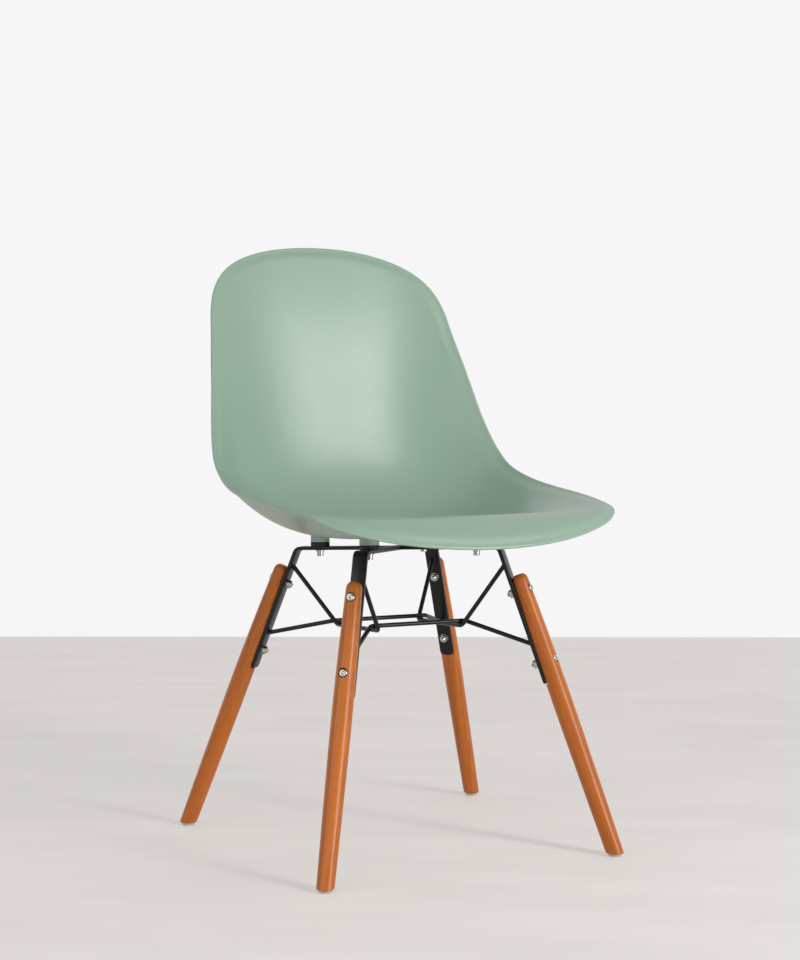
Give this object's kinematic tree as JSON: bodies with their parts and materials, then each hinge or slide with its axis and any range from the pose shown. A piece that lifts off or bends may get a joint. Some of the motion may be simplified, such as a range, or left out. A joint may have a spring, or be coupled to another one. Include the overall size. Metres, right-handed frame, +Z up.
{
  "type": "side chair",
  "caption": "Armless dining chair: moulded one-piece shell seat on crossed flat bars with bent wire bracing and splayed round wooden legs.",
  "frame": {"origin": "on the floor, under the middle of the chair's bounding box", "axes": "+Z up, chair faces -Y, X across the chair with +X to the sitter's left; X = 0 is the mirror plane"},
  "size_m": [0.4784, 0.5488, 0.8198],
  "materials": {
    "shell_plastic": "satin moulded colour",
    "brass": "machined",
    "zinc_steel": "bright zinc",
    "black_coat": "satin powder coat",
    "black_rubber": "matt",
    "stained_wood": "stained and lacquered",
    "clear_plastic": "translucent"
  },
  "bodies": {
    "root": {"seat_shell": "shell_plastic", "seat_inserts": "brass", "seat_bolts": "zinc_steel", "seat_spring_washers": "zinc_steel", "seat_washers": "zinc_steel", "frame_bar_upper": "black_coat", "frame_bar_lower": "black_coat", "side_wire_right": "black_coat", "side_wire_left": "black_coat", "front_wire": "black_coat", "back_wire": "black_coat", "rubber_spacer_front_right": "black_rubber", "leg_front_right": "stained_wood", "leg_screws_front_right": "zinc_steel", "leg_nuts_front_right": "zinc_steel", "leg_washers_front_right": "zinc_steel", "glide_front_right": "clear_plastic", "glide_nail_front_right": "zinc_steel", "rubber_spacer_front_left": "black_rubber", "leg_front_left": "stained_wood", "leg_screws_front_left": "zinc_steel", "leg_nuts_front_left": "zinc_steel", "leg_washers_front_left": "zinc_steel", "glide_front_left": "clear_plastic", "glide_nail_front_left": "zinc_steel", "rubber_spacer_back_left": "black_rubber", "leg_back_left": "stained_wood", "leg_screws_back_left": "zinc_steel", "leg_nuts_back_left": "zinc_steel", "leg_washers_back_left": "zinc_steel", "glide_back_left": "clear_plastic", "glide_nail_back_left": "zinc_steel", "rubber_spacer_back_right": "black_rubber", "leg_back_right": "stained_wood", "leg_screws_back_right": "zinc_steel", "leg_nuts_back_right": "zinc_steel", "leg_washers_back_right": "zinc_steel", "glide_back_right": "clear_plastic", "glide_nail_back_right": "zinc_steel"}
  },
  "joints": []
}
